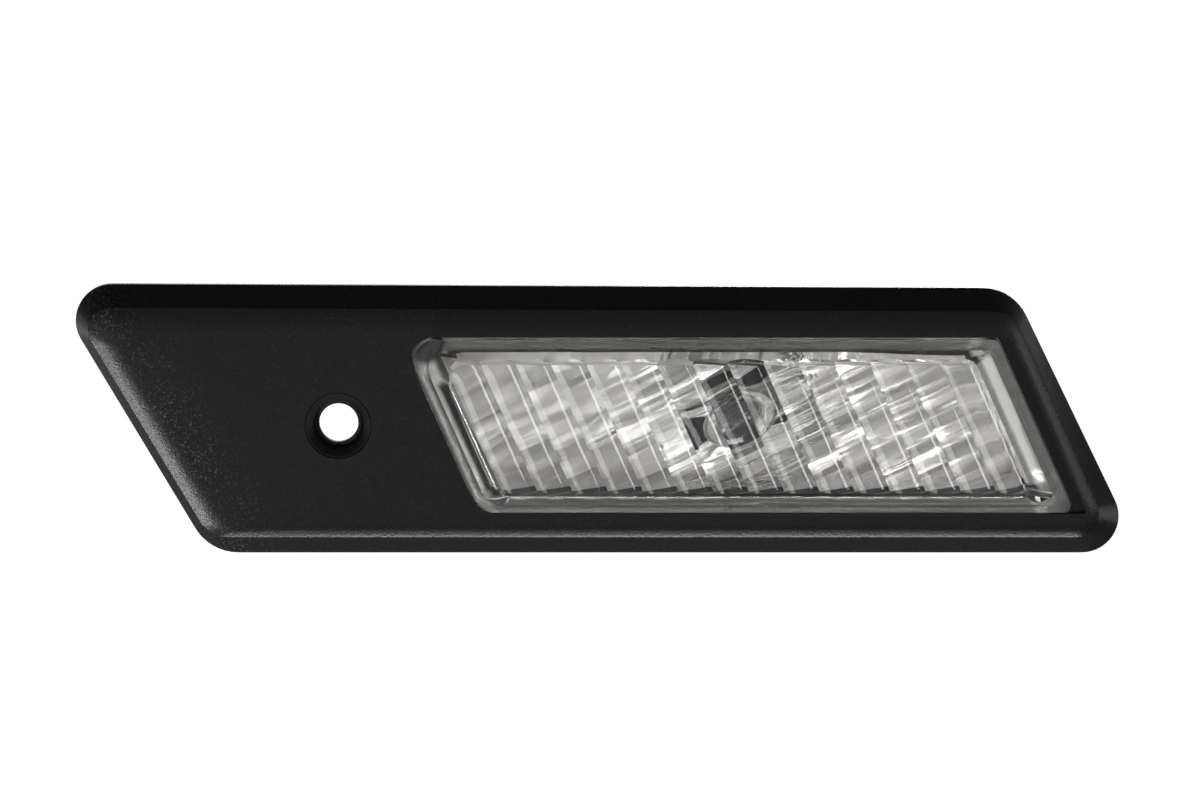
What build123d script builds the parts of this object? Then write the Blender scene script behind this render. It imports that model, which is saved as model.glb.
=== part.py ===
import math
import os

from build123d import *

os.makedirs("parts", exist_ok=True)

# The X axis runs along the lamp, Z is up, the lamp looks toward -Y and the panel is at Y = 0.
# The origin is on the axis of the screw hole. Heights are measured from the panel toward the viewer.

# Lens, seen from the front
hole_to_lens = 14.5
lens_width = 83.4
lens_height = 24.5
lens_slant = 24.0
lens_proud = 4.3
lens_wall = 2.0
lens_face = 2.2
lens_step = 0.4
bevel_left = 3.6
bevel_right = 4.9
bevel_top = 2.75
inner_bevel = 0.6
lens_corner_left = 3.0
lens_corner_right = 0.8
lens_edge = 0.7
flange_width = 1.5
flange_thick = 1.3
flute_count = 15
flute_part = 14.7
flute_radius = 7.0

# Bezel, seen from the front
hole_to_end = 29.4
margin_top = 7.3
top_fall = 0.6
margin_bottom = 6.5
margin_right = 6.15
slant_left = 30.5
slant_right = 25.9
slant_edge_right = 23.6
corner_acute = 5.2
corner_obtuse = 7.1
edge_left = 1.6
edge_right = 2.1
edge_top = 2.85
edge_bottom = 2.85
edge_acute = 3.2
edge_obtuse = 4.4
roll_left = 3.4
roll_right = 1.8
roll_top = 3.6
roll_bottom = 1.9
face_acute = 1.6
face_obtuse = 2.8

# Bezel, in depth
gasket_thick = 1.0
gasket_width = 2.3
gasket_inset = 0.3
bezel_land = 1.0
bezel_rise = 4.0
roll_drop = 0.5
bezel_skin = 2.2
bezel_wall = 1.8
window_gap = 0.25
rebate_width = 1.4
rebate_depth = 1.3

# Screw boss and the inside of the bezel
hole_diameter = 5.5
counterbore_diameter = 9.0
counterbore_depth = 3.2
counterbore_break = 0.2
counterbore_draft = 22.0
boss_web = 1.2
boss_wall = 1.9
boss_core = 7.6
rib_thick = 1.2
rib_height = 2.8
finger_width = 6.0
finger_thick = 1.0
finger_hook = 0.65
finger_tip = 1.1
finger_gap = 0.15
finger_pitch = 27.0

# Housing
housing_flange = 1.5
housing_wall = 1.6
housing_set = 0.2
housing_depth = 8.8
rear_wall = 1.8
rear_edge = 0.8
housing_corner = 2.0
back_rib = 16.0
back_rib_height = 2.4
collar_wall = 1.8
collar_bore = 20.0
collar_depth = 7.2
socket_bore = 16.4
notch_width = 5.0
notch_count = 3
tongue_width = 11.0
tongue_hide = 1.6
tongue_thick = 1.8
tongue_slot = 1.3

# Reflector
rim_inset = 0.15
rim_thick = 1.0
rim_play = 0.1
rim_show = 0.4
tray_draft = 8.0
tray_skin = 0.6
tray_depth = 5.0
tray_floor = 1.0
row_count = 4
row_radius = 6.0
bowl_radius = 13.0
bowl_depth = 2.4
bowl_wall = 0.8
bulb_gap = 0.5

# Bulb
bulb_diameter = 10.0
bulb_length = 26.8
bulb_tip = 4.5
bulb_wall = 0.8
pinch_width = 9.4
pinch_thick = 2.5
pinch_length = 7.4
wire_diameter = 0.45
wire_spread = 4.8
filament_diameter = 0.9
filament_place = 0.51
bead_width = 1.8
bead_length = 1.6
bead_place = 0.8

# Bulb holder
holder_play = 0.6
lug_width = 4.2
lug_reach = 1.6
lug_thick = 2.0
seal_thick = 1.0
seal_width = 2.4
holder_flange = 2.0
bulb_play = 0.6
grip_thick = 3.0
grip_height = 6.0
latch_width = 4.0
latch_rise = 1.2
slot_play = 0.8
contact_width = 6.3
contact_thick = 0.6
contact_rest = 2.9
holder_floor = 1.8
shroud_depth = 11.0
shroud_wall = 1.4
shroud_width = 12.4
shroud_height = 10.4
blade_depth = 9.0

# Heights that follow from the sizes above
face_h = gasket_thick + bezel_land + bezel_rise + roll_drop
edge_h = face_h - roll_drop
land_h = gasket_thick + bezel_land
ceiling_h = face_h - bezel_skin
weld_h = ceiling_h - flange_thick
flange_h = weld_h - housing_flange
front_h = face_h + lens_proud
cavity_h = front_h - lens_face
shoulder_h = face_h + lens_step
floor_h = -tray_depth
rear_h = -housing_depth
socket_h = rear_h - collar_depth
lens_x = hole_to_lens + lens_width / 2
half = lens_height / 2
lean = math.tan(math.radians(lens_slant))
stretch = 1 / math.cos(math.radians(lens_slant))
tongue_reach = margin_right - tongue_hide


def slanted_face(h, left, right, top_left, top_right, bottom, lean_left, lean_right, radii):
    """Face with four sides, level at the bottom, with its own lean and corner radii at each end."""
    corners = [
        (left - lean_left * bottom, bottom),
        (right - lean_right * bottom, bottom),
        (right - lean_right * top_right, top_right),
        (left - lean_left * top_left, top_left),
    ]
    with BuildSketch(Plane.XZ.offset(h)) as face:
        with BuildLine():
            if max(radii) > 0:
                FilletPolyline(corners, radius=radii, close=True)
            else:
                Polyline(corners, close=True)
        make_face()
    return face.sketch


def bezel_face(h, left, right, top, bottom, lean_right, acute, obtuse):
    """Outline of the bezel at one height, set in from its widest outline."""
    lean_left = math.tan(math.radians(slant_left))
    return slanted_face(
        h,
        -hole_to_end + left / math.cos(math.radians(slant_left)),
        hole_to_lens + lens_width + margin_right - right / math.cos(math.radians(slant_right)),
        half + margin_top - top,
        half + margin_top - top_fall - top,
        -half - margin_bottom + bottom,
        lean_left,
        lean_right,
        [obtuse, acute, obtuse, acute],
    )


def bezel_blend(h, part, extra=0.0):
    """Outline of the bezel partway from its widest outline to its front edge, set in by extra."""
    leans = [math.tan(math.radians(slant_right)), math.tan(math.radians(slant_edge_right))]
    return bezel_face(
        h,
        edge_left * part + extra,
        edge_right * part + extra,
        edge_top * part + extra,
        edge_bottom * part + extra,
        leans[0] + (leans[1] - leans[0]) * part,
        corner_acute + (edge_acute - corner_acute) * part - extra * 0.6,
        corner_obtuse + (edge_obtuse - corner_obtuse) * part - extra * 0.6,
    )


def bezel_roll(part):
    """Outline of the bezel on its rolled front, from the front edge to the flat face."""
    lean_right = math.tan(math.radians(slant_edge_right))
    h = edge_h + roll_drop * (1 - (1 - part) ** 2)
    return bezel_face(
        h,
        edge_left + roll_left * part,
        edge_right + roll_right * part,
        edge_top + roll_top * part,
        edge_bottom + roll_bottom * part,
        lean_right,
        edge_acute + (face_acute - edge_acute) * part,
        edge_obtuse + (face_obtuse - edge_obtuse) * part,
    )


def lens_outline(h, left, right, top, round_left, round_right):
    """Outline of the lens at one height, set in from its outer edge."""
    return slanted_face(
        h,
        hole_to_lens + left * stretch,
        hole_to_lens + lens_width - right * stretch,
        half - top,
        half - top,
        -half + top,
        lean,
        lean,
        [round_left, round_right, round_right, round_left],
    )


def corner_scale(inset):
    """Share of the corner radii of the lens that is left at some inset."""
    return max(0.3, 1 - inset * 0.2)


def lens_offset(h, inset):
    """Outline of the lens set in by the same amount all round."""
    scale = corner_scale(inset)
    return lens_outline(h, inset, inset, inset, lens_corner_left * scale, lens_corner_right * scale)


def behind(depth):
    """Plane across the bulb axis at a depth behind the panel, facing the back."""
    return Plane((lens_x, depth, 0), x_dir=(1, 0, 0), z_dir=(0, 1, 0))


# Reflector: a tray with leaning sides, rows of round facets on both wings and a bowl round the bulb
tray_lean = math.tan(math.radians(tray_draft))
tray_left = bevel_left + rim_show
tray_right = bevel_right + rim_show
tray_top = bevel_top + rim_show
floor_set = tray_lean * (weld_h - floor_h)
row_pitch = 2 * (half - tray_top - floor_set) / row_count
row_rise = row_radius - math.sqrt(row_radius**2 - row_pitch**2 / 4)
bowl_hole = bulb_diameter / 2 + bulb_gap
bowl_y = tray_depth + bowl_depth
bowl_centre = (bowl_y + tray_depth - (bowl_radius**2 - bowl_hole**2) / bowl_depth) / 2
bowl_sphere = math.hypot(bowl_hole, bowl_y - bowl_centre)


def tray_outline(h, extra):
    """Outline of the tray at one height, with its leaning sides set out by extra."""
    inset = tray_lean * (weld_h - h) - extra
    return lens_outline(h, tray_left + inset, tray_right + inset, tray_top + inset, 0, 0)


with BuildPart() as tray_cavity:
    mouth_h = weld_h + 0.5
    extrude(tray_outline(mouth_h, 0), amount=floor_h - mouth_h, taper=tray_draft)
    with BuildSketch(Plane((lens_x, 0, 0), x_dir=(0, 1, 0), z_dir=(1, 0, 0))):
        with BuildLine():
            low = -row_pitch * row_count / 2
            Polyline((tray_depth, low), (tray_depth + 0.5, low), (tray_depth + 0.5, -low), (tray_depth, -low))
            for row in range(row_count):
                z = low + row * row_pitch
                ThreePointArc(
                    (tray_depth, z), (tray_depth - row_rise, z + row_pitch / 2), (tray_depth, z + row_pitch)
                )
        make_face()
    extrude(amount=lens_width, both=True, mode=Mode.SUBTRACT)

with BuildPart() as bowl_cavity:
    with Locations((lens_x, bowl_centre, 0)):
        Sphere(bowl_sphere)
    with BuildSketch(behind(tray_depth - row_rise)):
        Circle(bowl_radius)
    extrude(amount=bowl_sphere, mode=Mode.INTERSECT)
    extrude(tray_outline(floor_h, 0), amount=bowl_sphere, both=True, mode=Mode.INTERSECT)

with BuildPart() as bowl_back:
    with BuildSketch(behind(tray_depth)):
        Circle(bowl_radius)
    extrude(amount=bowl_depth + bowl_wall)
    extrude(tray_outline(floor_h, tray_skin), amount=bowl_sphere, both=True, mode=Mode.INTERSECT)

with BuildPart() as reflector:
    extrude(lens_offset(weld_h, rim_inset), amount=-rim_thick)
    skin_h = weld_h - rim_thick / 2
    extrude(tray_outline(skin_h, tray_skin), amount=floor_h - tray_floor - skin_h, taper=tray_draft)
    add(bowl_back.part)
    add(tray_cavity.part, mode=Mode.SUBTRACT)
    add(bowl_cavity.part, mode=Mode.SUBTRACT)
    with BuildSketch(behind(tray_depth)):
        Circle(bowl_hole)
    extrude(amount=bowl_depth + bowl_wall + 1, mode=Mode.SUBTRACT)
reflector.part.label = "reflector"
export_step(reflector.part, "parts/reflector.step")

# Housing: box behind the lens, with the collar for the bulb holder and the tongue at the far end
with BuildPart() as housing:
    extrude(lens_offset(weld_h, -flange_width), amount=-housing_flange)
    box = lens_outline(weld_h - 0.5, housing_set, housing_set, housing_set, housing_corner, housing_corner)
    extrude(box, amount=-(weld_h - 0.5 - rear_h) - rear_wall)
    chamfer(housing.edges().group_by(Axis.Y)[-1], rear_edge)
    with BuildSketch(Plane.XZ.offset(rear_h)):
        with Locations((lens_x, 0)):
            Circle(collar_bore / 2 + collar_wall)
    extrude(amount=-collar_depth)
    rib_turn = math.sqrt((collar_bore / 2) ** 2 - (half * 0.5) ** 2)
    with BuildSketch(Plane.XZ.offset(rear_h - rear_wall + 0.2)):
        for place in (-1, 1):
            for level in (-0.5, 0.5):
                x = lens_x + place * (rib_turn + back_rib / 2)
                with Locations((x, level * half)):
                    Rectangle(back_rib, rib_thick)
    extrude(amount=-back_rib_height - 0.2)
    with BuildSketch(Plane.XZ.offset(-tongue_slot)):
        with BuildLine():
            up = tongue_width / 2
            root = hole_to_lens + lens_width - housing_set * stretch - 1.0
            tip = root + 1.0 + tongue_reach
            Polyline(
                (root - lean * up, up),
                (tip - lean * up - 1.2, up),
                (tip - lean * (up - 1.2), up - 1.2),
                (tip + lean * (up - 1.2), 1.2 - up),
                (tip + lean * up - 1.2, -up),
                (root + lean * up, -up),
                (root - lean * up, up),
            )
        make_face()
    extrude(amount=-tongue_thick)
    for place in (-1, 0, 1):
        with BuildSketch(Plane((0, 0, place * tongue_width * 0.32 - rib_thick / 2), z_dir=(0, 0, 1))):
            with BuildLine():
                foot = root - lean * place * tongue_width * 0.32
                low = tongue_slot + tongue_thick
                Polyline(
                    (foot, low - 0.2),
                    (foot + tongue_reach - 0.4, low - 0.2),
                    (foot + 1.0, low + tongue_reach * 0.6),
                    (foot, low + tongue_reach * 0.6),
                    (foot, low - 0.2),
                )
            make_face()
        extrude(amount=rib_thick)
    inside = lens_offset(weld_h + 0.5, housing_set + housing_wall)
    extrude(inside, amount=-(weld_h + 0.5 - rear_h), mode=Mode.SUBTRACT)
    rim_seat = lens_offset(weld_h + 0.5, rim_inset - rim_play)
    extrude(rim_seat, amount=-(rim_thick + 0.5), mode=Mode.SUBTRACT)
    with BuildSketch(Plane.XZ.offset(rear_h + 0.5)):
        with Locations((lens_x, 0)):
            Circle(collar_bore / 2)
    extrude(amount=-(collar_depth - rear_wall + 0.5), mode=Mode.SUBTRACT)
    with BuildSketch(Plane.XZ.offset(rear_h)):
        with Locations((lens_x, 0)):
            Circle(socket_bore / 2)
            with PolarLocations(socket_bore / 2, notch_count, start_angle=90):
                Rectangle((collar_bore - socket_bore), notch_width)
    extrude(amount=-collar_depth - 1, mode=Mode.SUBTRACT)
housing.part.label = "housing"
export_step(housing.part, "parts/housing.step")

# Lens: clear cap, welded by its flange to the housing, with slanted flutes on the inside
ceiling_left = bevel_left + inner_bevel
ceiling_right = bevel_right + inner_bevel
ceiling_top = bevel_top + inner_bevel
flute_span = (lens_width - (ceiling_left + ceiling_right) * stretch) / stretch
flute_pitch = flute_span / flute_part
flute_rise = flute_radius - math.sqrt(flute_radius**2 - flute_pitch**2 / 4)
flute_start = (hole_to_lens - lens_x) / stretch + ceiling_left
flute_plane = Plane(
    (lens_x, 0, 0),
    x_dir=(1 / stretch, 0, lean / stretch),
    z_dir=(-lean / stretch, 0, 1 / stretch),
)

with BuildPart() as lens_cavity:
    extrude(lens_offset(weld_h - 1, lens_wall), amount=shoulder_h - weld_h + 1)
    corners = [radius * corner_scale(lens_wall) for radius in (lens_corner_left, lens_corner_right)]
    ceiling = lens_outline(cavity_h, ceiling_left, ceiling_right, ceiling_top, *corners)
    loft([lens_offset(shoulder_h, lens_wall), ceiling], ruled=True)
    with BuildSketch(flute_plane):
        with BuildLine():
            last = flute_start + flute_pitch * flute_count
            Polyline(
                (flute_start, -cavity_h),
                (flute_start, -cavity_h - 0.5),
                (last, -cavity_h - 0.5),
                (last, -cavity_h),
            )
            for flute in range(flute_count):
                v = flute_start + flute * flute_pitch
                ThreePointArc(
                    (v, -cavity_h),
                    (v + flute_pitch / 2, -cavity_h + flute_rise),
                    (v + flute_pitch, -cavity_h),
                )
        make_face()
    extrude(amount=lens_height, both=True, mode=Mode.SUBTRACT)

with BuildPart() as lens:
    extrude(lens_offset(weld_h, 0), amount=shoulder_h - weld_h)
    front = lens_outline(front_h, bevel_left, bevel_right, bevel_top, lens_corner_left, lens_corner_right)
    loft([lens_offset(shoulder_h, 0), front], ruled=True)
    fillet(lens.edges().group_by(Axis.Y)[0], lens_edge)
    extrude(lens_offset(weld_h, -flange_width), amount=flange_thick)
    add(lens_cavity.part, mode=Mode.SUBTRACT)
lens.part.label = "lens"
export_step(lens.part, "parts/lens.step")

# Bezel: frame with a rolled front edge, a window for the lens, a sunk screw boss, ribs and snap fingers
boss_radius = counterbore_diameter / 2 + boss_wall
web_h = face_h - counterbore_depth
finger_z = half + flange_width + finger_gap

with BuildPart() as bezel_ribs:
    rib_lean = math.tan(math.radians(slant_left))
    with BuildSketch(Plane.XZ.offset(ceiling_h - rib_height)):
        with Locations((-hole_to_end / 2, 0)):
            Rectangle(hole_to_end, rib_thick)
        with BuildLine():
            side = rib_thick / 2 / math.cos(math.radians(slant_left))
            top = half + margin_top
            bottom = -half - margin_bottom
            Polyline(
                (-rib_lean * top - side, top),
                (-rib_lean * top + side, top),
                (-rib_lean * bottom + side, bottom),
                (-rib_lean * bottom - side, bottom),
                (-rib_lean * top - side, top),
            )
        make_face()
    extrude(amount=rib_height + 0.3)
    limit = [bezel_blend(gasket_thick, 0, bezel_wall / 2), bezel_blend(ceiling_h + 0.3, 0.5, bezel_wall / 2)]
    loft(limit, ruled=True, mode=Mode.INTERSECT)

with BuildPart() as bezel:
    extrude(bezel_blend(gasket_thick, 0), amount=bezel_land)
    loft([bezel_blend(land_h, 0), bezel_blend(edge_h, 1)], ruled=True)
    loft([bezel_roll(step) for step in (0, 0.5, 1)])
    pocket = [bezel_blend(gasket_thick, 0, bezel_wall), bezel_blend(ceiling_h, 0.5, bezel_wall)]
    loft(pocket, ruled=True, mode=Mode.SUBTRACT)
    with BuildSketch(Plane.XZ):
        Circle(boss_radius)
    extrude(amount=ceiling_h + 0.3)
    add(bezel_ribs.part)
    for end in (1, -1):
        for place in (-1, 0, 1):
            x = lens_x - end * lean * finger_z + place * finger_pitch
            with BuildSketch(Plane((x - finger_width / 2, 0, 0), x_dir=(0, 1, 0), z_dir=(1, 0, 0))):
                with BuildLine():
                    Polyline(
                        (-ceiling_h - 0.3, end * finger_z),
                        (-flange_h, end * finger_z),
                        (-flange_h, end * (finger_z - finger_gap - finger_hook)),
                        (-flange_h + finger_tip * 0.3, end * (finger_z - finger_gap - finger_hook)),
                        (-flange_h + finger_tip, end * finger_z),
                        (-flange_h + finger_tip, end * (finger_z + finger_thick)),
                        (-ceiling_h - 0.3, end * (finger_z + finger_thick)),
                        (-ceiling_h - 0.3, end * finger_z),
                    )
                make_face()
            extrude(amount=finger_width)
    gap = -window_gap
    window = lens_outline(ceiling_h - 0.5, gap, gap, gap, lens_corner_left, lens_corner_right)
    extrude(window, amount=bezel_skin + 1, mode=Mode.SUBTRACT)
    rebate = lens_outline(face_h - rebate_depth, gap, gap - rebate_width, gap, lens_corner_left, 0.4)
    extrude(rebate, amount=rebate_depth + 0.5, mode=Mode.SUBTRACT)
    with BuildSketch(Plane.XZ.offset(face_h)):
        Circle(counterbore_diameter / 2)
    extrude(amount=-counterbore_depth, taper=counterbore_draft, mode=Mode.SUBTRACT)
    with BuildSketch(Plane.XZ.offset(face_h)):
        Circle(counterbore_diameter / 2 + counterbore_break)
    extrude(amount=-counterbore_break, taper=45, mode=Mode.SUBTRACT)
    with BuildSketch(Plane.XZ):
        Circle(boss_core / 2)
    extrude(amount=web_h - boss_web, mode=Mode.SUBTRACT)
    with BuildSketch(Plane.XZ):
        Circle(hole_diameter / 2)
    extrude(amount=face_h, mode=Mode.SUBTRACT)
bezel.part.label = "bezel"
export_step(bezel.part, "parts/bezel.step")

# Panel gasket: soft ring behind the rim of the bezel
with BuildPart() as panel_gasket:
    extrude(bezel_blend(0, 0, gasket_inset), amount=gasket_thick)
    extrude(bezel_blend(0, 0, gasket_inset + gasket_width), amount=gasket_thick, mode=Mode.SUBTRACT)
panel_gasket.part.label = "panel_gasket"
export_step(panel_gasket.part, "parts/panel_gasket.step")

# Lead wires: each comes out of the pinch at the foot of the bulb and is folded up along its face
bulb_end = bulb_length - bulb_tip
wire_radius = wire_diameter / 2
fold_z = pinch_thick / 2 + wire_radius
fold_bend = fold_z * 0.36
glass_end = bulb_end - pinch_length
bulb_radius = bulb_diameter / 2
cavity_front = -bulb_tip + bulb_wall
cavity_back = glass_end - bulb_radius * 0.5 - bulb_wall
filament_y = cavity_front + (cavity_back - cavity_front) * filament_place
bead_y = cavity_front + (cavity_back - cavity_front) * bead_place


def lead_wire(side):
    """Sweep one lead wire, from its folded end to the filament."""
    x = lens_x + side * wire_spread / 2
    with BuildLine() as path:
        Polyline(
            (x, bulb_end - pinch_length * 0.75, -side * fold_z),
            (x, bulb_end + fold_bend, -side * fold_z),
            (x, bulb_end + fold_bend, 0),
            (x, filament_y, 0),
        )
    with BuildSketch(Plane(path.line @ 0, z_dir=path.line % 0)) as end:
        Circle(wire_radius)
    sweep(end.sketch, path=path.line, transition=Transition.RIGHT)


with BuildPart() as lead_wire_left:
    lead_wire(-1)
lead_wire_left.part.label = "lead_wire_left"
export_step(lead_wire_left.part, "parts/lead_wire_left.step")

with BuildPart() as lead_wire_right:
    lead_wire(1)
lead_wire_right.part.label = "lead_wire_right"
export_step(lead_wire_right.part, "parts/lead_wire_right.step")

# Filament: fine coil stretched from one lead wire to the other, taken as a rod
with BuildPart() as filament:
    coil_y = filament_y + filament_diameter / 2
    with BuildSketch(Plane((lens_x - wire_spread / 2 + wire_radius, coil_y, 0), z_dir=(1, 0, 0))):
        Circle(filament_diameter / 2)
    extrude(amount=wire_spread - wire_diameter)
filament.part.label = "filament"
export_step(filament.part, "parts/filament.step")

# Bulb bead: pressed glass bar that holds the two lead wires apart
with BuildPart() as bulb_bead:
    with BuildSketch(behind(bead_y - bead_length / 2)):
        RectangleRounded(wire_spread + bead_width, bead_width, bead_width * 0.3)
        with Locations((-wire_spread / 2, 0), (wire_spread / 2, 0)):
            Circle(wire_radius, mode=Mode.SUBTRACT)
    extrude(amount=bead_length)
bulb_bead.part.label = "bulb_bead"
export_step(bulb_bead.part, "parts/bulb_bead.step")

# Bulb glass: round envelope, closed by a flat pinch that the lead wires pass through
dome_turns = [0, 36, 66, 90]
crown = -bulb_tip + bulb_radius
inner = bulb_radius - bulb_wall

with BuildPart() as bulb_glass:
    with BuildSketch(Plane((lens_x, 0, 0), x_dir=(1, 0, 0), z_dir=(0, 0, 1))):
        with BuildLine():
            dome = []
            for turn in dome_turns:
                turn = math.radians(turn)
                dome.append((bulb_radius * math.cos(turn), crown - bulb_radius * math.sin(turn)))
            dome[-1] = (0, -bulb_tip)
            Polyline(
                *dome,
                (0, glass_end - bulb_radius * 0.4),
                (bulb_radius, glass_end - bulb_radius * 0.4),
                (bulb_radius, crown),
            )
        make_face()
    revolve(axis=Axis((lens_x, 0, 0), (0, 1, 0)))
    with BuildSketch(behind(glass_end - bulb_radius * 0.45)):
        RectangleRounded(pinch_width, pinch_thick, pinch_thick * 0.3)
    extrude(amount=pinch_length + bulb_radius * 0.45)
    with BuildSketch(Plane((lens_x, 0, 0), x_dir=(1, 0, 0), z_dir=(0, 0, 1))):
        with BuildLine():
            Polyline(
                (0, cavity_front),
                (inner * 0.5, cavity_front),
                (inner, crown),
                (inner, cavity_back),
                (0, cavity_back),
                (0, cavity_front),
            )
        make_face()
    revolve(axis=Axis((lens_x, 0, 0), (0, 1, 0)), mode=Mode.SUBTRACT)
    with BuildSketch(behind(cavity_back - 1)):
        with Locations((-wire_spread / 2, 0), (wire_spread / 2, 0)):
            Circle(wire_radius)
    extrude(amount=bulb_end - cavity_back + 2, mode=Mode.SUBTRACT)
bulb_glass.part.label = "bulb_glass"
export_step(bulb_glass.part, "parts/bulb_glass.step")

# Contacts: sprung strips that press on the folded wires and end as blades in the plug shroud
slot_floor = bulb_end + fold_bend + wire_radius
shroud_floor = slot_floor + holder_floor
press_z = pinch_thick / 2 + wire_diameter


def contact_strip(side):
    """Bent strip on one side of the bulb foot."""
    press_y = bulb_end - pinch_length * 0.5
    outer = contact_rest + contact_thick
    with BuildSketch(Plane((lens_x - contact_width / 2, 0, 0), x_dir=(0, 1, 0), z_dir=(1, 0, 0))) as strip:
        with BuildLine():
            Polyline(
                (shroud_floor + blade_depth, side * contact_rest),
                (press_y + 2.4, side * contact_rest),
                (press_y, side * press_z),
                (press_y - 2.4, side * contact_rest),
                (press_y - 2.4, side * outer),
                (press_y - 0.5, side * (press_z + contact_thick * 1.3)),
                (press_y + 0.5, side * (press_z + contact_thick * 1.3)),
                (press_y + 2.2, side * outer),
                (shroud_floor + blade_depth, side * outer),
                (shroud_floor + blade_depth, side * contact_rest),
            )
        make_face()
    extrude(strip.sketch, amount=contact_width)


with BuildPart() as contact_upper:
    contact_strip(1)
contact_upper.part.label = "contact_upper"
export_step(contact_upper.part, "parts/contact_upper.step")

with BuildPart() as contact_lower:
    contact_strip(-1)
contact_lower.part.label = "contact_lower"
export_step(contact_lower.part, "parts/contact_lower.step")

# Bulb holder: twists into the collar of the housing, with lugs inside and a plug shroud behind
snout_radius = (socket_bore - holder_play) / 2
socket_y = -socket_h
lug_y = socket_y - rear_wall
flange_y = socket_y + seal_thick
snout_y = lug_y - lug_thick - 1.4
slot_y = glass_end - 0.4

with BuildPart() as bulb_holder:
    with BuildSketch(behind(snout_y)):
        Circle(snout_radius)
    extrude(amount=flange_y - snout_y + 0.5)
    with BuildSketch(behind(lug_y - lug_thick)):
        with PolarLocations(snout_radius, notch_count, start_angle=90):
            Rectangle(2 * lug_reach, lug_width)
    extrude(amount=lug_thick)
    with BuildSketch(behind(flange_y)):
        Circle(collar_bore / 2 + collar_wall)
    extrude(amount=holder_flange)
    with BuildSketch(behind(flange_y)):
        RectangleRounded(shroud_width + 2 * shroud_wall, shroud_height + 2 * shroud_wall, 1.2)
    extrude(amount=shroud_floor + shroud_depth - flange_y)
    with BuildSketch(behind(flange_y)):
        Rectangle(collar_bore + 2 * collar_wall, grip_thick)
    extrude(amount=holder_flange + grip_height)
    with BuildSketch(Plane((lens_x - latch_width / 2, 0, 0), x_dir=(0, 1, 0), z_dir=(1, 0, 0))):
        with BuildLine():
            top = shroud_height / 2 + shroud_wall
            end = shroud_floor + shroud_depth
            Polyline(
                (end - 5.0, top - 0.3),
                (end - 5.0, top + latch_rise),
                (end - 3.6, top + latch_rise),
                (end - 0.8, top),
                (end - 0.8, top - 0.3),
                (end - 5.0, top - 0.3),
            )
        make_face()
    extrude(amount=latch_width)
    with BuildSketch(behind(shroud_floor)):
        RectangleRounded(shroud_width, shroud_height, 0.6)
    extrude(amount=shroud_depth + 1, mode=Mode.SUBTRACT)
    with BuildSketch(behind(snout_y)):
        Circle((bulb_diameter + bulb_play) / 2)
    extrude(amount=slot_y - snout_y, mode=Mode.SUBTRACT)
    with BuildSketch(behind(slot_y - 0.2)):
        Rectangle(pinch_width + slot_play, 2 * (contact_rest + contact_thick))
    extrude(amount=slot_floor - slot_y + 0.2, mode=Mode.SUBTRACT)
    add(contact_upper.part, mode=Mode.SUBTRACT)
    add(contact_lower.part, mode=Mode.SUBTRACT)
bulb_holder.part.label = "bulb_holder"
export_step(bulb_holder.part, "parts/bulb_holder.step")

# Holder seal: soft ring between the collar and the flange of the bulb holder
with BuildPart() as holder_seal:
    with BuildSketch(behind(socket_y)):
        Circle(collar_bore / 2 + collar_wall - 0.4)
        Circle(collar_bore / 2 + collar_wall - 0.4 - seal_width, mode=Mode.SUBTRACT)
    extrude(amount=seal_thick)
holder_seal.part.label = "holder_seal"
export_step(holder_seal.part, "parts/holder_seal.step")
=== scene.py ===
import math

import bmesh
import bpy
from mathutils import Matrix, Vector


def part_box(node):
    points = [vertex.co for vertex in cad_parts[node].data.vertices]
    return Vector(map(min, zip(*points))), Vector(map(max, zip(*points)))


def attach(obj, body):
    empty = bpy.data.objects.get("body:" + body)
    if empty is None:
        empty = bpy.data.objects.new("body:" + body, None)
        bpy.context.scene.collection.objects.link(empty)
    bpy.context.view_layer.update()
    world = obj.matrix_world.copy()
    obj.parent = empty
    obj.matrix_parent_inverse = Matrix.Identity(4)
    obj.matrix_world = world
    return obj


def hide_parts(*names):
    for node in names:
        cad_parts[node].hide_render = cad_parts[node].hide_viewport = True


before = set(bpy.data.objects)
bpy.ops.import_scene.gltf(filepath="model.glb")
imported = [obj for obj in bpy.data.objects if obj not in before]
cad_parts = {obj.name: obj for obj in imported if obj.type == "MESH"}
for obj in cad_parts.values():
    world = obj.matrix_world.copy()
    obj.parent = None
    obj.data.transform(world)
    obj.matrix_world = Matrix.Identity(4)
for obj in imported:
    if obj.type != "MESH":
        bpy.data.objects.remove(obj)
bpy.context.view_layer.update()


# Reflector: a tray behind the lens, moulded in grey plastic and coated with aluminium in a vacuum.
# The rim is masked while the tray is coated, and lies clamped between the lens and the housing.
# A dark line of painted shade runs round the mouth and widens to a painted shade patch in the upper left
# corner, and at both ends some of the coat has crept under the mask.
MM = 0.001


def srgb(code):
    """An sRGB hex colour as linear red, green, blue and alpha."""
    parts = [int(code[i:i + 2], 16) / 255 for i in (1, 3, 5)]
    return tuple(c / 12.92 if c <= 0.04045 else ((c + 0.055) / 1.055) ** 2.4 for c in parts) + (1.0,)


def node(tree, kind, inputs=None, **settings):
    """Add one shader node, with its settings and with values or links on its inputs."""
    made = tree.nodes.new(kind)
    for name, value in settings.items():
        setattr(made, name, value)
    for name, value in (inputs or {}).items():
        if isinstance(value, bpy.types.NodeSocket):
            tree.links.new(value, made.inputs[name])
        else:
            made.inputs[name].default_value = value
    return made


def new_material(name):
    """An empty node material, its tree and the Object coordinates to lay its pattern on."""
    made = bpy.data.materials.new(name)
    made.use_nodes = True
    tree = made.node_tree
    tree.nodes.clear()
    place = node(tree, "ShaderNodeTexCoord").outputs["Object"]
    return made, tree, place


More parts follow.
